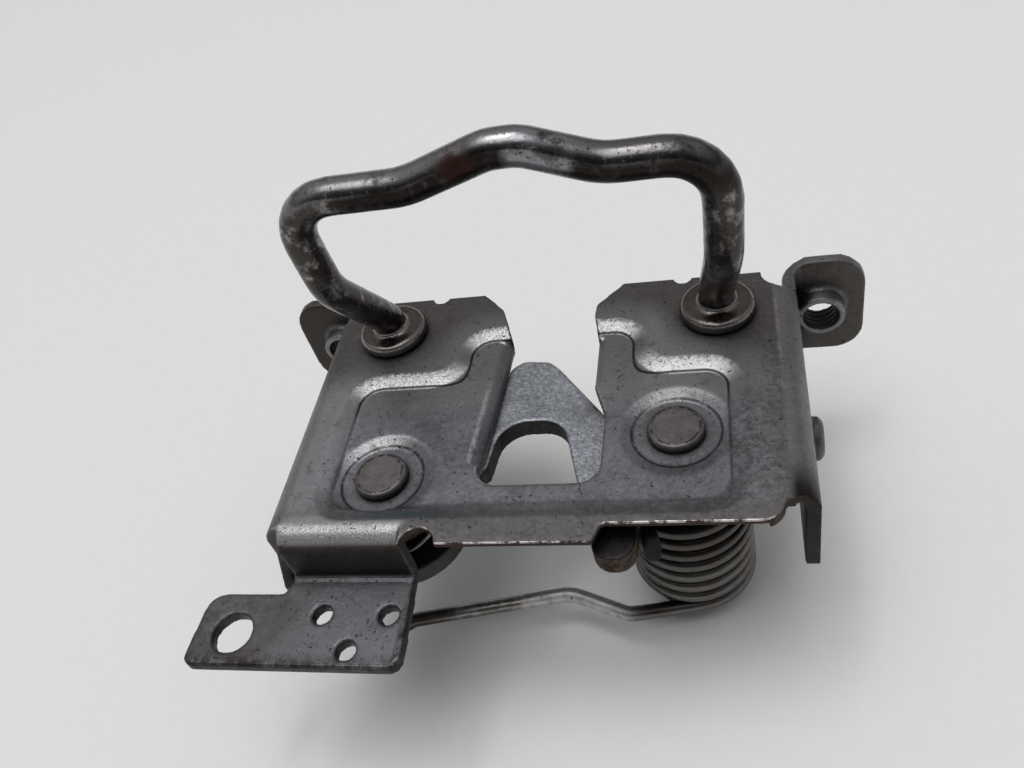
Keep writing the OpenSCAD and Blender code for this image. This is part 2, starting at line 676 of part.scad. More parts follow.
module catch_spindle() {
    color(zinc) place() spindle(catch_pos, catch_pin_d, spool_back - washer_t, catch_rear_r, catch_rear_h);
}

module pawl_spindle() {
    color(zinc) place() spindle(pawl_pos, pawl_pin_d, drum_back - washer_t, pawl_rear_r, pawl_rear_h);
}

module tube(z, h, r_out, r_in) {
    translate([0, 0, z]) difference() {
        cylinder(h = h, r = r_out);
        translate([0, 0, -1]) cylinder(h = h + 2, r = r_in);
    }
}

module catch_bush() {
    color(black) place() translate(catch_pos)
        tube(spool_back, spool_front - spool_back, coil_r - wire_d / 2 - 0.4, catch_pin_d / 2);
}

module catch_washer() {
    color(zinc) place() translate(catch_pos) tube(spool_back - washer_t, washer_t, coil_r - 1.3, catch_pin_d / 2);
}

module pawl_drum() {
    color(black) place() translate(pawl_pos) difference() {
        union() {
            translate([0, 0, drum_back]) cylinder(h = drum_front - drum_back, r = drum_r);
            translate([0, 0, drum_front - 1]) cylinder(h = spool_front - drum_front + 1, r = drum_neck_r);
        }
        translate([0, 0, drum_back - 1]) cylinder(h = big, d = pawl_pin_d);
    }
}

module pawl_washer() {
    color(zinc) place() translate(pawl_pos) tube(drum_back - washer_t, washer_t, pawl_washer_r, pawl_pin_d / 2);
}

// Points of a coil about +Z, clockwise as it goes back.
function coil(pos, r, z0, z1, a0, turn, steps) =
    let (n = ceil(turn / 360 * steps))
    [for (i = [0:n]) [pos.x + r * cos(a0 - turn * i / n), pos.y + r * sin(a0 - turn * i / n), z0 + (z1 - z0) * i / n]];

function inner(list) = [for (i = [1:len(list) - 2]) list[i]];
function flat(p, z) = [p.x, p.y, z];

hook_r = 2.4;
leg_reach = 10.8;

module spring() {
    hold = [pawl_pos.x - leg_reach, -wall_y + sheet_t + wire_d / 2 + 0.1];
    turns = coil(catch_pos, coil_r, coil_front, coil_back, coil_start, coil_sweep, 20);
    front = wire_path([[flat(spring_push, lever_back + 3), 0], [flat(spring_push, coil_front), hook_r], [turns[0], 0]], 4);
    back = wire_path([[turns[len(turns) - 1], 0], [flat(leg_dip, coil_back), 5], [flat(leg_dip + [-12.1, 4.7], coil_back), 8],
                      [flat(hold + [5.9, 4.1], coil_back), 4], [flat(hold, coil_back), hook_r],
                      [flat(hold, 4 - tab_depth), 0]], 4);
    color(dark_steel) place() sweep(concat([front[0]], inner(front), turns, inner(back), [back[len(back) - 1]]),
                                    wire_d / 2, [1, 0, 0], 10);
}

// Centre of the cable eye at the engaged angle; lifted, it lies just inside the left flange.
function turned(v, a) = [v.x * cos(a) - v.y * sin(a), v.x * sin(a) + v.y * cos(a)];
function pawl_eye() = pawl_pos + turned([-in_half_w + eye_r + eye_gap - pawl_pos.x, 5.6], -pawl_lift);

function shank_inside() = at(catch_pos, tip_r, ledge_a).x - hook_gap - 0.7;

// Pawl in plan at its engaged angle: hook over the ledge, shank, hub and cable arm.
module pawl_plan() {
    p = pawl_pos;
    tip = at(catch_pos, tip_r, ledge_a);
    nose = tip + [ledge_w - 1, hook_gap + 0.6];
    inside = shank_inside();
    outside = inside - shank_w;
    eye = pawl_eye();
    polygon(outline([[nose, 0.5], [nose + [0, nose_h], 1.5], [[inside - 1, nose.y + nose_h + 3.4], 4],
                     [[outside, nose.y + 2], 6], [p + [-9, 3], 0], [p - [0, 6], 0], [p + [9.6, -2], 0],
                     [[inside, p.y + 4], 4], [[inside, nose.y], 1.2]]));
    polygon([p + [-4, -8], p + [2, 0], p + [0, 9], eye + [2.4, 3.4], eye + [-2.6, -3.2]]);
    translate(eye) circle(eye_r);
}

module pawl() {
    eye = pawl_eye();
    color(pale_zinc) place() translate([0, 0, lever_back])
        translate(pawl_pos) rotate(pawl_lift) translate(-pawl_pos) difference() {
            union() {
                linear_extrude(lever_t) pawl_plan();
                translate(pawl_pos) cylinder(h = lever_t, r = pawl_hub_r);
            }
            translate([pawl_pos.x, pawl_pos.y, -1]) cylinder(h = lever_t + 2, r = pawl_pin_d / 2 + pivot_clearance);
            translate([eye.x, eye.y, -1]) cylinder(h = lever_t + 2, d = eye_bore_d);
        }
}

push_gap = 4.95;
push_up = 13.97;

module pawl_spring() {
    z0 = lever_back - small_wire_d / 2 - 0.5;
    z1 = drum_front + small_wire_d / 2 + 0.2;
    push = pawl_pos + turned([shank_inside() - shank_w - push_gap - pawl_pos.x, push_up], pawl_lift);
    hold = [pawl_pos.x - small_coil_r - 0.5, -wall_y + sheet_t + small_wire_d / 2 + 0.1];
    start = tangent_start(push - pawl_pos, small_coil_r);
    turn = 360 + start - tangent_end(hold - pawl_pos, small_coil_r);
    turns = coil(pawl_pos, small_coil_r, z0, z1, start, turn, 24);
    front = wire_path([[flat(push, lever_back + 3), 0], [flat(push, z0), 1.2], [turns[0], 0]], 4);
    color(dark_steel) place() sweep(concat([front[0]], inner(front), turns, [flat(hold, z1)]),
                                    small_wire_d / 2, [1, 0, 0], 8);
}

frame();
hoop();
catch();
catch_spindle();
catch_bush();
catch_washer();
spring();
pawl();
pawl_spindle();
pawl_drum();
pawl_spring();
pawl_washer();
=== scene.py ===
import json
import math

import bpy
from mathutils import Matrix, Vector


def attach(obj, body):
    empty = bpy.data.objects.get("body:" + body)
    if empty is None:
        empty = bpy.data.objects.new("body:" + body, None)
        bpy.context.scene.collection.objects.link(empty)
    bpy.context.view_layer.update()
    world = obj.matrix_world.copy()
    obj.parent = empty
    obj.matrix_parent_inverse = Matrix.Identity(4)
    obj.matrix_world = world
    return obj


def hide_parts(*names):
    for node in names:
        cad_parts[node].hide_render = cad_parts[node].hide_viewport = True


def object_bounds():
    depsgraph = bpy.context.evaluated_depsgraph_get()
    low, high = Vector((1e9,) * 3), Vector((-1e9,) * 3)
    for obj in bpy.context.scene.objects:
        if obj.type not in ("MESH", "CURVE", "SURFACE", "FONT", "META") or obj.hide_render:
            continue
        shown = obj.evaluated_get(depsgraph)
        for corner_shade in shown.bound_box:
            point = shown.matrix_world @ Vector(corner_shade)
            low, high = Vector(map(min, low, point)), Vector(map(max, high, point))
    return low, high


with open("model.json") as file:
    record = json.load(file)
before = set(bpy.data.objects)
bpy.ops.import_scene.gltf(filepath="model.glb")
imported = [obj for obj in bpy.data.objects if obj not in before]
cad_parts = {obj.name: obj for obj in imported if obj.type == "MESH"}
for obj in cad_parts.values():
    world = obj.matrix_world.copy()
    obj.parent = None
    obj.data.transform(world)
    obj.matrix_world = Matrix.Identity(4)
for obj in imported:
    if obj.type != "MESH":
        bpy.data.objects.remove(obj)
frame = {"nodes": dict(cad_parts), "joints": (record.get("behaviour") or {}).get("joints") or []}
nodes = frame["nodes"]
cad_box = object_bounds()
scene = bpy.context.scene


# Frame: one zinc-plated steel sheet, blanked, embossed and folded into plate, flanges, ears and cable tab.
# The press leaves its edges soft and the cut faces have rusted brown. Shade is painted dark into the
# corners, along the step lines and on the wall under the fold, and highlights are painted onto the slopes,
# bends, fold and bottom edge.
# A mask runs between two places in metres: up.ease(-0.040, -0.020) is 0 at the first and 1 at the second.
SHEET_GRAIN = 0.00036
SHEET_EASING = 3
SHEET_SHARE = 0.58
MERGE_WITHIN = 2e-6
EASING_STRENGTH = 0.5
SHELTER_RAYS = 8
FIELD_LEFT, FIELD_RIGHT, FIELD_LOW, FIELD_HIGH = -0.0368, 0.0346, -0.0606, -0.0312
TONGUE_LEFT, TONGUE_RIGHT, TONGUE_HIGH = -0.0155, 0.0173, -0.0195
FIELD_CORNER = 0.0045
FIELD_NECK = 0.007
SEAT_R = 0.0078
ROLL_X = -0.0112
BEND_X = 0.0437
BOLT_X = 0.053
SMEAR_X, SMEAR_Y = -0.022, -0.0625


def copied(node, name):
    """A copy of a CAD node with its loose triangles joined, ready to be worked on."""
    piece = bpy.data.objects.new(name, nodes[node].data.copy())
    scene.collection.objects.link(piece)
    bpy.ops.object.select_all(action="DESELECT")
    piece.select_set(True)
    bpy.context.view_layer.objects.active = piece
    bpy.ops.object.mode_set(mode="EDIT")
    bpy.ops.mesh.select_all(action="SELECT")
    bpy.ops.mesh.remove_doubles(threshold=MERGE_WITHIN)
    bpy.ops.object.mode_set(mode="OBJECT")
    return piece


def eased(node, name, grain, easing, share=1.0):
    """A copy of a CAD node whose sharp edges are worn round, on a mesh of the given grain."""
    piece = copied(node, name)
    remesh = piece.modifiers.new("grain", "REMESH")
    remesh.mode = "VOXEL"
    remesh.voxel_size = grain
    smooth = piece.modifiers.new("easing", "SMOOTH")
    smooth.factor = EASING_STRENGTH
    smooth.iterations = easing
    for modifier in ("grain", "easing"):
        bpy.ops.object.modifier_apply(modifier=modifier)
    if share < 1:
        thin = piece.modifiers.new("thinning", "DECIMATE")
        thin.ratio = share
        bpy.ops.object.modifier_apply(modifier="thinning")
    bpy.ops.object.shade_smooth()
    return piece


class Tone:
    """A socket of a finish's node tree; sums on it add Math nodes, and node() adds any other."""

    def __init__(self, tree, socket=None):
        self.tree = tree
        self.socket = socket

    def node(self, kind, inputs, output=0, **settings):
        made = self.tree.nodes.new("ShaderNode" + kind)
        for name, value in settings.items():
            setattr(made, name, value)
        for name, value in inputs.items():
            if isinstance(value, Tone):
                self.tree.links.new(value.socket, made.inputs[name])
            else:
                made.inputs[name].default_value = value
        return Tone(self.tree, made.outputs[output])

    def math(self, operation, *terms):
        return self.node("Math", dict(enumerate((self, *terms))), operation=operation)

    def __add__(self, other):
        return self.math("ADD", other)

    __radd__ = __add__

    def __sub__(self, other):
        return self.math("SUBTRACT", other)

    def __rsub__(self, other):
        return self.node("Math", {0: other, 1: self}, operation="SUBTRACT")

    def __mul__(self, other):
        return self.math("MULTIPLY", other)

    __rmul__ = __mul__

    def __abs__(self):
        return self.math("ABSOLUTE")

    def ease(self, low, high):
        """0 at low, 1 at high and smooth between; low may be the greater."""
        return self.node("MapRange", {"Value": self, "From Min": low, "From Max": high},
                         interpolation_type="SMOOTHSTEP")

    def normal(self):
        """The object-space normal of the same finish."""
        return self.node("TexCoord", {}, output="Normal")

    def axis(self, name):
        return self.node("SeparateXYZ", {"Vector": self}, output=name)

    def vector(self, operation, *terms, output=0):
        return self.node("VectorMath", dict(enumerate((self, *terms))), output=output, operation=operation)

    def scaled(self, x, y, z):
        return self.vector("MULTIPLY", (x, y, z))

    def along(self, x, y, z):
        return self.vector("DOT_PRODUCT", (x, y, z), output="Value")

    def away(self, x, y, z):
        return self.vector("DISTANCE", (x, y, z), output="Value")

    def noise(self, scale, detail=4.0, roughness=0.55):
        return self.node("TexNoise", {"Vector": self, "Scale": scale, "Detail": detail,
                                      "Roughness": roughness})

    def shelter(self, distance):
        """1 in the open, falling to 0 where other surfaces close in within the distance."""
        return self.node("AmbientOcclusion", {"Distance": distance}, output="AO", samples=SHELTER_RAYS)

    def over(self, ground, colour):
        """Lays a colour over a ground where this mask is 1."""
        below, above = (tone if isinstance(tone, Tone) else (*tone, 1) for tone in (ground, colour))
        return self.node("Mix", {0: self, 6: below, 7: above}, output=2, data_type="RGBA")


def finish_of(name):
    """A new material and its Object coordinates."""
    material = bpy.data.materials.new(name)
    material.use_nodes = True
    return material, Tone(material.node_tree).node("TexCoord", {}, output="Object")


def coat(material, colour, roughness, height, metallic, depth, strength):
    """Feeds a finish's colour, roughness and relief into its shader."""
    tree = material.node_tree
    shader = tree.nodes["Principled BSDF"]
    shader.inputs["Metallic"].default_value = metallic
    relief = height.node("Bump", {"Height": height, "Distance": depth, "Strength": strength})
    for name, tone in (("Base Color", colour), ("Roughness", roughness), ("Normal", relief)):
        tree.links.new(tone.socket, shader.inputs[name])


def dress(piece, material):
    piece.data.materials.clear()
    piece.data.materials.append(material)


def pan_distance(across, up, left, right, low, high):
    """Distance outside a rectangle of the plate with the field's round corners."""
    out_x = abs(across - (left + right) / 2) - ((right - left) / 2 - FIELD_CORNER)
    out_y = abs(up - (low + high) / 2) - ((high - low) / 2 - FIELD_CORNER)
    far_x, far_y = out_x.math("MAXIMUM", 0.0), out_y.math("MAXIMUM", 0.0)
    outside = (far_x * far_x + far_y * far_y).math("SQRT")
    return outside + out_x.math("MAXIMUM", out_y).math("MINIMUM", 0.0) - FIELD_CORNER


pivots = {joint["child"]: (*joint["pos_m"][:2], 0) for joint in frame["joints"]}


def from_pivots(place):
    """Distance from the nearer of the two levers' axes."""
    plan = place.scaled(1, 1, 0)
    return plan.away(*pivots["catch"]).math("MINIMUM", plan.away(*pivots["pawl"]))


sheet_skin = eased("frame", "sheet_frame", SHEET_GRAIN, SHEET_EASING, SHEET_SHARE)

zinc, place = finish_of("dull zinc sheet")
facing = place.normal()
across, up, out = place.axis("X"), place.axis("Y"), place.axis("Z")
front = out.ease(0.0095, 0.0115)
level = abs(facing.axis("Z"))
slope = facing.along(0, -1, 0).ease(0.05, 0.30) * level.ease(0.80, 0.90)

speckle = place.noise(2600, 2.0, 0.6)
mottle = place.noise(520, 5.0, 0.65)
cloud = place.noise(75, 5.0, 0.62)
grain = place.noise(950, 4.0, 0.75)
worn = place.noise(430, 4.0, 0.7)
pits = place.noise(1250, 3.0, 0.7).ease(0.615, 0.70)
spots = place.noise(300, 5.0, 0.72).ease(0.56, 0.70)
streaks = place.scaled(1, 0.05, 0.05).noise(1300, 3.0, 0.6)
corner_shade = place.shelter(0.005).ease(0.92, 0.35)

wide = pan_distance(across, up, FIELD_LEFT, FIELD_RIGHT, FIELD_LOW, FIELD_HIGH)
tongue = pan_distance(across, up, TONGUE_LEFT, TONGUE_RIGHT, FIELD_LOW, TONGUE_HIGH)
field = wide.math("SMOOTH_MIN", tongue, FIELD_NECK)
inside = field.ease(0.0004, -0.0006) * front
# Painted shade lines along the foot of the field's step and round the seats.
coin_line_shade = abs(field + 0.0002).ease(0.00040, 0.0001) * up.ease(-0.0605, -0.054) * cloud.ease(0.26, 0.44)
coin_line_shade = coin_line_shade * (0.4 + 0.6 * up.ease(-0.042, -0.035)) * front
# Painted highlight: a soft glow above the slopes.
halo = field.ease(0.0105, 0.0030) * up.ease(-0.040, -0.036) * front

seats = from_pivots(place)
seat_line_shade = abs(seats - SEAT_R).ease(0.0004, 0.0001) * mottle.ease(0.34, 0.48)
seat_line_shade = seat_line_shade * cloud.ease(0.28, 0.46) * front
seat_rim = seats.ease(0.0108, 0.0092)
seat_light = facing.axis("X").ease(-0.20, 0.14)

right_side = across.ease(0.017, 0.022)
# Where the emboss slopes get their painted highlight: strongest near the field's edge, broken up by noise.
foot = (field.ease(0.0042, 0.0002) + 1.6 * (grain - 0.5)).ease(0.10, 0.78)
# The painted slope highlight is mostly taken off the seat rims, less so on their side facing +X.
foot = foot * (1 - seat_rim * (0.95 - 0.42 * seat_light))
highlight_spread = cloud.ease(0.22, 0.52) * (0.5 + 0.5 * speckle.ease(0.38, 0.60))
highlight_spread = highlight_spread.math("MAXIMUM", 0.8 * right_side)
rubbed_side = across.ease(-0.0345, -0.0385) * up.ease(-0.026, -0.036) * front
roll_highlight = facing.axis("X").ease(0.10, 0.22) * facing.axis("X").ease(0.52, 0.34) * up.ease(-0.029, -0.036)
roll_highlight = roll_highlight * abs(across - ROLL_X).ease(0.0045, 0.003) * front
top_grime = up.ease(-0.040, -0.020) * front
bend_glint = abs(across - BEND_X).ease(0.0005, 0.0001) * up.ease(-0.040, -0.033) * up.ease(-0.010, -0.015)
bend_sheen = across.ease(0.0428, 0.0444) * front
side_grime = abs(across).ease(0.036, 0.045) * cloud.ease(0.42, 0.6)
foot_grime = across.ease(0.0425, 0.0445) * up.ease(-0.052, -0.060)
cut_face = level.ease(0.6, 0.2) * front * abs(across).ease(0.0455, 0.044)
drawn = streaks.ease(0.52, 0.74) * up.ease(-0.056, -0.0615)
strip_grime = up.ease(-0.0605, -0.063) * front
smear = abs(up - SMEAR_Y).ease(0.0022, 0.0002) * abs(across - SMEAR_X).ease(0.011, 0.004) * front
lip_rust_and_glint = facing.along(0, -0.64, 0.77).ease(0.86, 0.97) * up.ease(-0.0625, -0.064)
lip_rust_and_glint = lip_rust_and_glint * out.ease(0.008, 0.0095) * across.ease(-0.0212, -0.0196)

fold_highlight = facing.along(0, -0.48, 0.88).ease(0.82, 0.955) * up.ease(-0.062, -0.0635)
fold_highlight = fold_highlight * out.ease(0.007, 0.009) * across.ease(-0.0196, -0.0212)
wall_shade = up.ease(-0.0645, -0.0665) * level.ease(0.64, 0.30)
tab_face = up.ease(-0.066, -0.0675) * out.ease(0.006, 0.004) * level.ease(0.7, 0.9)
tab_grime = up.ease(-0.0825, -0.0858) + across.ease(-0.0222, -0.0212) * up.ease(-0.069, -0.072)
wing_grime = across.ease(-0.040, -0.058) * up.ease(-0.066, -0.072)

bolt_plan = place.scaled(1, 0, 1)
bolt_eye = bolt_plan.away(BOLT_X, 0, 0).math("MINIMUM", bolt_plan.away(-BOLT_X, 0, 0))
ear_grime = up.ease(-0.012, -0.006) * abs(facing.axis("Y")).ease(0.45, 0.8) * bolt_eye.ease(0.0052, 0.0064)
eye_collar = bolt_eye.ease(0.0066, 0.0056) * up.ease(-0.0026, -0.0034) * up.ease(-0.020, -0.014)
bore_grime = bolt_eye.ease(0.0038, 0.0035) * up.ease(-0.02, -0.012)

colour = (cloud * 0.55 + mottle * 0.45).ease(0.36, 0.64).over((0.095, 0.093, 0.097), (0.225, 0.228, 0.243))
colour = (grain.ease(0.52, 0.34) * 0.45).over(colour, (0.070, 0.068, 0.069))
colour = (grain.ease(0.48, 0.68) * 0.45).over(colour, (0.32, 0.322, 0.338))
colour = (inside * (0.15 + 0.5 * cloud)).over(colour, (0.215, 0.219, 0.236))
colour = (speckle.ease(0.5, 0.8) * 0.55).over(colour, (0.27, 0.272, 0.288))
colour = (drawn * front * 0.35).over(colour, (0.30, 0.298, 0.31))
colour = (tab_face * (0.5 + 0.5 * cloud)).over(colour, (0.145, 0.148, 0.157))
colour = (top_grime * (0.35 + 0.9 * cloud)).over(colour, (0.080, 0.069, 0.065))
colour = (side_grime * 0.7).over(colour, (0.088, 0.078, 0.070))
# Painted sheen and glint along the start of the right flange's bend.
colour = (bend_sheen * (0.15 + 0.6 * cloud)).over(colour, (0.25, 0.245, 0.245))
colour = (bend_glint * front * mottle.ease(0.36, 0.60) * 0.5).over(colour, (0.29, 0.28, 0.275))
colour = (ear_grime * (0.55 + 0.6 * mottle)).over(colour, (0.080, 0.072, 0.064))
colour = (ear_grime * across.ease(-0.045, -0.048) * 0.7).over(colour, (0.034, 0.029, 0.025))
colour = (eye_collar * (0.3 + 0.6 * mottle)).over(colour, (0.30, 0.295, 0.29))
# Painted highlight: a soft lighter glow spreading above the slopes.
colour = (halo * (0.15 + 0.5 * cloud + 0.35 * right_side)).over(colour, (0.27, 0.263, 0.267))
# Painted highlight along the rolled-over left edge of the slot.
colour = (roll_highlight * (0.35 + 0.65 * grain.ease(0.35, 0.6))).over(colour, (0.36, 0.36, 0.37))
colour = (rubbed_side * (0.25 + 0.7 * cloud)).over(colour, (0.30, 0.30, 0.312))
# Painted shade: the seat slopes facing the viewer are darkened.
colour = (slope * seat_rim * cloud.ease(0.66, 0.40)).over(colour, (0.105, 0.104, 0.107))
# Painted highlight: the slopes facing the viewer are painted near white where they would mirror the
# ceiling.
colour = (slope * foot * highlight_spread).over(colour, (0.84, 0.83, 0.835))
# Painted highlight on the fold above the cable tab.
colour = (fold_highlight * (0.6 + 0.4 * speckle.ease(0.40, 0.62))).over(colour, (0.88, 0.865, 0.87))
colour = (strip_grime * (0.25 + 0.6 * cloud)).over(colour, (0.128, 0.113, 0.110))
colour = (foot_grime * (0.75 + 0.4 * mottle)).over(colour, (0.014, 0.011, 0.009))
colour = (wing_grime * mottle.ease(0.4, 0.62) * 0.8).over(colour, (0.075, 0.070, 0.064))
colour = (smear * mottle.ease(0.40, 0.58) * 0.8).over(colour, (0.075, 0.115, 0.135))
# Painted shade: the steep wall below the fold is painted nearly black.
colour = (wall_shade * (0.55 + 0.5 * mottle)).over(colour, (0.034, 0.032, 0.034))
colour = (tab_grime * mottle.ease(0.35, 0.6) * 0.9).over(colour, (0.024, 0.021, 0.018))
colour = (spots * 0.5).over(colour, (0.052, 0.046, 0.041))
colour = (pits * 0.85).over(colour, (0.018, 0.015, 0.013))
# Painted shade: the corners, creases and recesses found by occlusion are darkened.
colour = (corner_shade * (mottle * 0.6 + 0.6)).over(colour, (0.014, 0.012, 0.011))
colour = (bore_grime * 0.9).over(colour, (0.016, 0.014, 0.013))
colour = (cut_face * (0.35 + mottle)).over(colour, (0.060, 0.040, 0.030))
# Bottom edge lip: rust patches, and between them a painted highlight where the rounded edge would catch the
# ceiling.
colour = (lip_rust_and_glint * worn.ease(0.58, 0.42) * 0.85).over(colour, (0.060, 0.041, 0.033))
colour = (lip_rust_and_glint * worn.ease(0.40, 0.56)).over(colour, (0.78, 0.73, 0.71))
# Painted shade: thin near-black lines where the field and seat steps fall into shadow.
colour = (coin_line_shade * 0.9 + seat_line_shade * 0.75).over(colour, (0.012, 0.011, 0.010))
roughness = 0.34 + 0.14 * mottle + 0.10 * cloud + 0.2 * pits + 0.12 * top_grime + 0.2 * cut_face
relief = speckle * (0.35 + 0.9 * slope) + mottle * 0.6 - pits * 0.8
coat(zinc, colour, roughness, relief, metallic=0.92, depth=0.00013, strength=0.7)
dress(sheet_skin, zinc)
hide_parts("frame")
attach(sheet_skin, "base")


# Ear threads: cut in the two pulled collars, so they belong to the sheet itself.
# The ridge of an M8 thread winds down each bore, black with old grease.
BORE_R = 0.0034
RIDGE_R = 0.00022
RIDGE_SIDES = 8
RIDGE_SINK = 0.00004
THREAD_PITCH = 0.00125
THREAD_TURNS = 4
THREAD_STEPS = 40
THREAD_TOP = -0.0005

for side, hand in (("right", 1), ("left", -1)):
    bpy.ops.object.select_all(action="DESELECT")
    bpy.ops.mesh.primitive_circle_add(vertices=RIDGE_SIDES, radius=RIDGE_R, location=(0, 0, 0))
    ridge = bpy.context.object
    ridge.name = side + "_ear_thread"
    bpy.ops.object.mode_set(mode="EDIT")
    bpy.ops.mesh.select_all(action="SELECT")
    bpy.ops.transform.translate(value=(BORE_R + RIDGE_SINK, 0, 0))
    bpy.ops.object.mode_set(mode="OBJECT")
    winding = ridge.modifiers.new("winding", "SCREW")
    winding.axis = "Y"
    winding.angle = math.tau
    winding.screw_offset = -THREAD_PITCH
    winding.iterations = THREAD_TURNS
    winding.steps = winding.render_steps = THREAD_STEPS
    bpy.ops.object.modifier_apply(modifier="winding")
    bpy.ops.object.mode_set(mode="EDIT")
    bpy.ops.mesh.select_all(action="SELECT")
    bpy.ops.mesh.normals_make_consistent(inside=False)
    bpy.ops.transform.translate(value=(hand * BOLT_X, THREAD_TOP, 0))
    bpy.ops.object.mode_set(mode="OBJECT")
    bpy.ops.object.shade_smooth()
    dress(ridge, zinc)
    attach(ridge, "base")


# Hoop: a round steel bar, bent cold, with a swaged collar at each foot and ends riveted behind the plate.
# Dark steel, painted lighter along the top as a painted highlight and black underneath as painted shade,
# with rust spots.
HOOP_GRAIN = 0.0005
HOOP_EASING = 12
BARE_SPOT = (0.0088, -0.0302, 0.0600)
RUST_SPOT = (-0.0045, -0.0295, 0.0605)

bar = eased("hoop", "striker_hoop", HOOP_GRAIN, HOOP_EASING)

dark_steel, place = finish_of("worn dark bar")
facing = place.normal()
across, out = place.axis("X"), place.axis("Z")
mottle = place.noise(360, 5.0, 0.66)
cloud = place.noise(85, 4.0, 0.6)
grit = place.noise(1500, 4.0, 0.7)
specks = grit.ease(0.60, 0.68)
patches = place.noise(150, 6.0, 0.75).ease(0.52, 0.68)
top_highlight = (facing.along(0.0, -0.2, 0.98) + 0.8 * (cloud - 0.5)).ease(0.36, 0.97)
ends = out.ease(0.0535, 0.0470).math("MAXIMUM", across.ease(-0.024, -0.031))
right_bar = across.ease(0.012, 0.020) * out.ease(0.048, 0.054)
bare = place.away(*BARE_SPOT).ease(0.0066, 0.0042)
rust = place.away(*RUST_SPOT).ease(0.0052, 0.0010) * mottle.ease(0.42, 0.58)
collar = out.ease(0.0182, 0.0168)
collar_top = collar * facing.axis("Z").ease(0.85, 0.97)
# Painted highlight and shade: the bar is painted lighter where it faces up and black where it faces down.
colour = top_highlight.over(ends.over((0.018, 0.015, 0.014), (0.056, 0.051, 0.047)), (0.235, 0.23, 0.226))
colour = (bare * (0.35 + 0.65 * mottle.ease(0.36, 0.56))).over(colour, (0.25, 0.255, 0.265))
colour = (mottle.ease(0.50, 0.68) * (1 - top_highlight) * (0.15 + 0.65 * ends)).over(colour, (0.33, 0.32, 0.31))
colour = (patches * 0.85).over(colour, (0.022, 0.018, 0.016))
# Painted shade: the upper right part of the bar is darkened to narrow its highlight.
colour = (right_bar * 0.4).over(colour, (0.024, 0.020, 0.018))
colour = (collar * (0.5 + 0.6 * mottle)).over(colour, (0.19, 0.176, 0.167))
# Painted highlight: the left collar is painted lighter than the right.
colour = (collar * across.ease(-0.026, -0.031) * 0.5).over(colour, (0.30, 0.282, 0.272))
colour = (collar_top * (0.4 + 0.8 * mottle)).over(colour, (0.062, 0.048, 0.041))
colour = (rust * 0.85).over(colour, (0.040, 0.013, 0.009))
colour = (specks * 0.9).over(colour, (0.014, 0.011, 0.010))
roughness = 0.14 + 0.14 * mottle + 0.20 * patches + 0.25 * specks + 0.25 * rust + 0.05 * collar
relief = mottle * 0.7 - specks * 0.5 + grit * 0.35
coat(dark_steel, colour, roughness, relief, metallic=1.0, depth=0.00016, strength=0.55)
dress(bar, dark_steel)
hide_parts("hoop")
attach(bar, "base")


# Catch and pawl: two levers blanked from 4.2 mm steel, zinc plated pale and bluish, free on their spindles.
# Their blanked edges are dark and oily, the catch's tail is painted near black as painted shade and dirt
# with a rusted rim, and its upper edge has a brown stain.
LEVER_GRAIN = 0.0003
LEVER_EASING = 3
STAIN_SPOT = (0.0102, -0.0356, 0.0089)

pale_zinc, place = finish_of("speckled pale zinc")
facing = place.normal()
speckle = place.noise(3000, 2.0, 0.6)
crystals = place.noise(1500, 4.0, 0.75)
mottle = place.noise(700, 5.0, 0.62)
cloud = place.noise(120, 4.0, 0.6)
pits = place.noise(1100, 4.0, 0.72).ease(0.62, 0.70)
edge = abs(facing.axis("Z")).ease(0.7, 0.3)
tail = place.axis("Y").ease(-0.055, -0.0595)
stain = place.away(*STAIN_SPOT).ease(0.0034, 0.0008)
colour = (cloud * 0.5 + mottle * 0.5).ease(0.35, 0.65).over((0.215, 0.222, 0.238), (0.345, 0.360, 0.388))
colour = (speckle.ease(0.45, 0.8) * 0.7).over(colour, (0.47, 0.487, 0.522))
colour = (crystals.ease(0.50, 0.34) * (0.2 + 0.7 * cloud)).over(colour, (0.125, 0.130, 0.140))
colour = (crystals.ease(0.50, 0.68) * (0.25 + 0.7 * cloud)).over(colour, (0.62, 0.645, 0.69))
colour = (stain * crystals.ease(0.42, 0.56) * 0.8).over(colour, (0.085, 0.060, 0.045))
colour = (pits * 0.85).over(colour, (0.030, 0.028, 0.026))
# The catch's tail painted near black: painted shade, and dirt.
colour = (tail * 0.95).over(colour, (0.012, 0.009, 0.008))
colour = (edge * (0.75 + 0.3 * mottle)).over(colour, (0.022, 0.019, 0.017))
colour = (edge * tail * mottle.ease(0.4, 0.55)).over(colour, (0.085, 0.058, 0.038))
roughness = 0.42 + 0.15 * mottle + 0.15 * pits + 0.15 * edge
relief = speckle * 0.7 + mottle * 0.5 - pits * 0.7
coat(pale_zinc, colour, roughness, relief, metallic=0.88, depth=0.00011, strength=0.6)

for node in ("catch", "pawl"):
    lever = eased(node, node + "_lever", LEVER_GRAIN, LEVER_EASING)
    dress(lever, pale_zinc)
    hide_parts(node)
    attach(lever, node)


# Spindles and washers: turned steel pins whose front ends are spun flat in the dished seats.
# The rear ends are spun over plain washers. Dull taupe grey, with dirt in the ring left by the tool.
RIVET_GRAIN = 0.00028
RIVET_EASING = 4
HEAD_RING = 0.00425

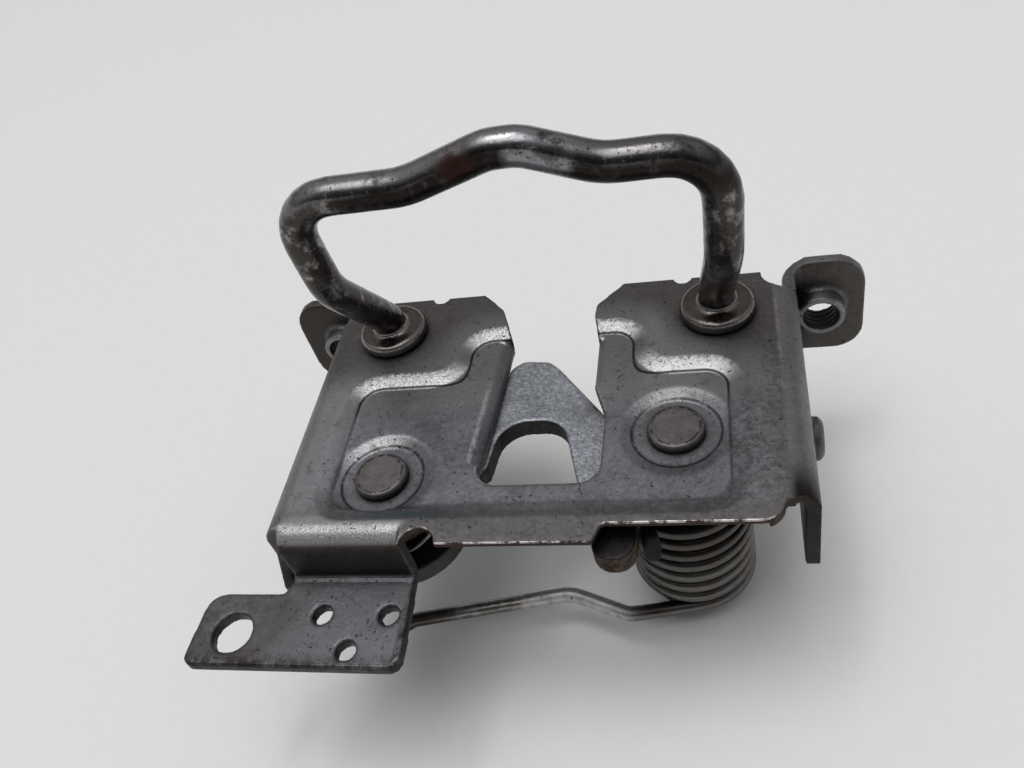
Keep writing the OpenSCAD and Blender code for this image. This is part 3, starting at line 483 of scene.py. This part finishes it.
rivet_steel, place = finish_of("spun rivet steel")
facing = place.normal()
mottle = place.noise(600, 5.0, 0.62)
cloud = place.noise(180, 4.0, 0.6)
specks = place.noise(1500, 4.0, 0.72).ease(0.61, 0.70)
head_rim = place.axis("Z").ease(0.0121, 0.0129)
side = abs(facing.axis("Z")).ease(0.75, 0.35) * (1 - 0.8 * head_rim)
ring = abs(from_pivots(place) - HEAD_RING).ease(0.0004, 0.00008) * place.noise(900, 3.0).ease(0.42, 0.55)
colour = (mottle * 0.5 + cloud * 0.5).ease(0.35, 0.65).over((0.115, 0.105, 0.102), (0.180, 0.168, 0.165))
colour = (specks * 0.75).over(colour, (0.028, 0.025, 0.022))
colour = (ring * 0.85).over(colour, (0.030, 0.027, 0.025))
colour = (side * 0.9).over(colour, (0.026, 0.023, 0.021))
roughness = 0.40 + 0.16 * mottle + 0.15 * specks + 0.15 * side
relief = mottle * 0.7 - specks * 0.4 - ring * 0.6
coat(rivet_steel, colour, roughness, relief, metallic=0.92, depth=0.00012, strength=0.5)

for node in ("catch_spindle", "pawl_spindle", "catch_washer", "pawl_washer"):
    pin = eased(node, node + "_steel", RIVET_GRAIN, RIVET_EASING)
    dress(pin, rivet_steel)
    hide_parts(node)
    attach(pin, "base")


# Springs: the heavy torsion spring that throws the catch open, and the small one behind the pawl.
# Round oiled spring wire, painted lighter on the outer crest of the turns as a painted highlight, and black
# between them and on the turns nearest the plate as painted shade.
# The long leg is bare next to the tab and keeps a dull, flaking grey coat next to the coil.
WIRE_ROUNDING = 2
QUAD_BEND = math.radians(30)
QUAD_SKEW = math.radians(60)

spring_steel, place = finish_of("oiled spring wire")
facing = place.normal()
across, out = place.axis("X"), place.axis("Z")
plan = place.scaled(1, 1, 0)
mottle = place.noise(460, 5.0, 0.66)
specks = place.noise(1300, 4.0, 0.72).ease(0.62, 0.70)
flakes = place.noise(700, 4.0, 0.72).ease(0.60, 0.66)
gap_shade = place.shelter(0.004).ease(0.75, 0.25)
coil = plan.away(*pivots["catch"]).ease(0.0215, 0.0150)
plate_shadow = out.ease(-0.0175, -0.0080)
spoke = plan.vector("SUBTRACT", pivots["catch"]).vector("NORMALIZE")
radial = facing.vector("DOT_PRODUCT", spoke, output="Value")
lit_crest = radial.ease(0.30, 0.85) * (1 - plate_shadow) + radial.ease(0.80, 0.98) * plate_shadow
dulled = across.ease(-0.0101, -0.0090) * (1 - coil)
leg_top = facing.along(0, 0.4, 0.917).ease(0.70, 0.95)
leg_end = across.ease(-0.0215, -0.0265)
hook = place.axis("Y").ease(-0.0615, -0.0628)
colour = mottle.ease(0.35, 0.68).over((0.170, 0.160, 0.148), (0.34, 0.33, 0.315))
colour = (specks * 0.85).over(colour, (0.018, 0.015, 0.013))
colour = (dulled * (0.6 + 0.4 * mottle.ease(0.36, 0.58))).over(colour, (0.60, 0.585, 0.57))
colour = (dulled * leg_top * 0.85).over(colour, (0.10, 0.093, 0.086))
colour = (dulled * flakes * 0.85).over(colour, (0.05, 0.044, 0.04))
colour = (leg_end * 0.75).over(colour, (0.05, 0.042, 0.035))
colour = (coil * (0.45 + 0.5 * mottle)).over(colour, (0.085, 0.079, 0.073))
# Painted shade: each turn is darkened away from its outward crest, which stays as a painted highlight line.
colour = (coil * (1 - lit_crest) * 0.9).over(colour, (0.020, 0.017, 0.015))
# Painted shadow of the plate on the coil's turns nearest it.
colour = (coil * plate_shadow * 0.55).over(colour, (0.030, 0.026, 0.023))
colour = (hook * 0.95).over(colour, (0.020, 0.016, 0.013))
# Painted shade: the wire is blackened where occlusion finds the turns close together.
colour = (gap_shade * 0.95).over(colour, (0.010, 0.009, 0.008))
roughness = 0.24 + 0.16 * mottle + 0.2 * specks + 0.2 * gap_shade + 0.2 * dulled + 0.35 * hook
relief = mottle * 0.7 - specks * 0.5
coat(spring_steel, colour, roughness, relief, metallic=0.96, depth=0.00012, strength=0.5)

for node in ("spring", "pawl_spring"):
    wire = copied(node, node + "_wire")
    bpy.ops.object.mode_set(mode="EDIT")
    bpy.ops.mesh.select_all(action="SELECT")
    bpy.ops.mesh.tris_convert_to_quads(face_threshold=QUAD_BEND, shape_threshold=QUAD_SKEW)
    bpy.ops.object.mode_set(mode="OBJECT")
    rounding = wire.modifiers.new("rounding", "SUBSURF")
    rounding.levels = rounding.render_levels = WIRE_ROUNDING
    bpy.ops.object.modifier_apply(modifier="rounding")
    bpy.ops.object.shade_smooth()
    dress(wire, spring_steel)
    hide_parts(node)
    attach(wire, "base")


# Bush and drum: black moulded sleeves on the spindles, one inside the main coil and one behind the pawl.
# Matt plastic, greasy and dusty.
SLEEVE_GRAIN = 0.00028
SLEEVE_EASING = 4

black_plastic, place = finish_of("greasy black plastic")
mottle = place.noise(500, 4.0, 0.6)
dust = place.noise(120, 4.0, 0.65).ease(0.5, 0.7)
colour = (dust * 0.6).over((0.012, 0.011, 0.011), (0.045, 0.042, 0.038))
roughness = 0.42 + 0.25 * mottle
coat(black_plastic, colour, roughness, mottle, metallic=0.0, depth=0.0001, strength=0.3)

for node in ("catch_bush", "pawl_drum"):
    sleeve = eased(node, node + "_sleeve", SLEEVE_GRAIN, SLEEVE_EASING)
    dress(sleeve, black_plastic)
    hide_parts(node)
    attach(sleeve, "base")


# Table: a plain pale board that the latch stands clear of by less than a millimetre.
# Smooth, dull and barely grained, so that it only takes the soft shadow.
TABLE_SIZE = 6.0
TABLE_GAP = 0.0008

bpy.ops.mesh.primitive_plane_add(size=TABLE_SIZE, location=(0, 0, cad_box[0].z - TABLE_GAP))
table = bpy.context.object
table.name = "table"
pale_board, place = finish_of("pale board")
grain = place.noise(260, 3.0, 0.6)
colour = grain.ease(0.3, 0.7).over((0.915, 0.912, 0.896), (0.93, 0.927, 0.912))
roughness = 0.6 + 0.1 * grain
relief = place.noise(420, 3.0)
coat(pale_board, colour, roughness, relief, metallic=0.0, depth=0.0002, strength=0.12)
dress(table, pale_board)


# Light: a narrow lamp overhead, a little to the left of the latch, under a broad pale ceiling.
# The room is dim, and darkest towards the viewer. The eye and the metal see a pale backdrop at the horizon.
LAMP_LONG, LAMP_WIDE, LAMP_POWER = 0.34, 0.12, 0.8
LAMP_PLACE, LAMP_AIM = Vector((-0.17, 0.02, 1.0)), Vector((0, -0.03, 0))
CEILING, WALLS, LOW, SHADE, BACKDROP = 2.6, 0.50, 0.10, 0.42, 0.74
CEILING_WAY, SHADE_WAY = (-0.12, -0.10, 0.988), (-0.05, -0.90, 0.43)
BACKDROP_FULL, BACKDROP_GONE = 0.14, 0.30
ROOM_TINT = (0.985, 0.985, 1.0, 1)

lamp_data = bpy.data.lights.new("ceiling lamp", "AREA")
lamp_data.shape = "RECTANGLE"
lamp_data.size, lamp_data.size_y = LAMP_LONG, LAMP_WIDE
lamp_data.energy = LAMP_POWER
lamp = bpy.data.objects.new("ceiling lamp", lamp_data)
scene.collection.objects.link(lamp)
lamp.location = LAMP_PLACE
lamp.rotation_mode = "QUATERNION"
lamp.rotation_quaternion = (LAMP_AIM - LAMP_PLACE).to_track_quat("-Z", "Y")
scene.world = bpy.data.worlds.new("room")
scene.world.use_nodes = True
room = scene.world.node_tree.nodes["Background"]
room.inputs["Color"].default_value = ROOM_TINT
sky = Tone(scene.world.node_tree).node("TexCoord", {}, output="Generated")
ceiling = sky.along(*CEILING_WAY).ease(0.86, 0.985)
shade = sky.along(*SHADE_WAY).ease(0.50, 0.92)
walls = LOW + (WALLS - LOW) * sky.axis("Z").ease(0.26, 0.66)
glow = CEILING * ceiling + walls * (1 - SHADE / WALLS * shade)
seen = sky.node("LightPath", {}, output="Is Camera Ray")
for ray in ("Is Glossy Ray", "Is Transmission Ray"):
    seen = seen.math("MAXIMUM", sky.node("LightPath", {}, output=ray))
backdrop = seen * sky.axis("Z").ease(BACKDROP_GONE, BACKDROP_FULL)
scene.world.node_tree.links.new((glow + backdrop * (BACKDROP - glow)).socket, room.inputs["Strength"])


# Camera: held by hand above and to the right of the latch, and turned a little about its own axis.
# Its place, lens and angles were fitted to the photograph.
TURN, TILT, ROLL = math.radians(20.6), math.radians(43.95), math.radians(-18.04)
EYE = (0.0378, -0.1484, 0.1324)
LENS_MM, SENSOR_MM = 31.64, 36.0
NEAREST = 0.01

back = Vector((math.sin(TURN) * math.cos(TILT), -math.cos(TURN) * math.cos(TILT), math.sin(TILT)))
right = (-back).cross(Vector((0, 0, 1))).normalized()
upward = right.cross(-back)
level_x = math.cos(ROLL) * right + math.sin(ROLL) * upward
level_y = math.cos(ROLL) * upward - math.sin(ROLL) * right
lens = bpy.data.cameras.new("camera")
lens.lens = LENS_MM
lens.sensor_width = SENSOR_MM
lens.clip_start = NEAREST
camera = bpy.data.objects.new("camera", lens)
scene.collection.objects.link(camera)
turn = Matrix((level_x, level_y, back)).transposed().to_4x4()
camera.matrix_world = Matrix.Translation(EYE) @ turn
scene.camera = camera

scene.view_settings.view_transform = "Standard"
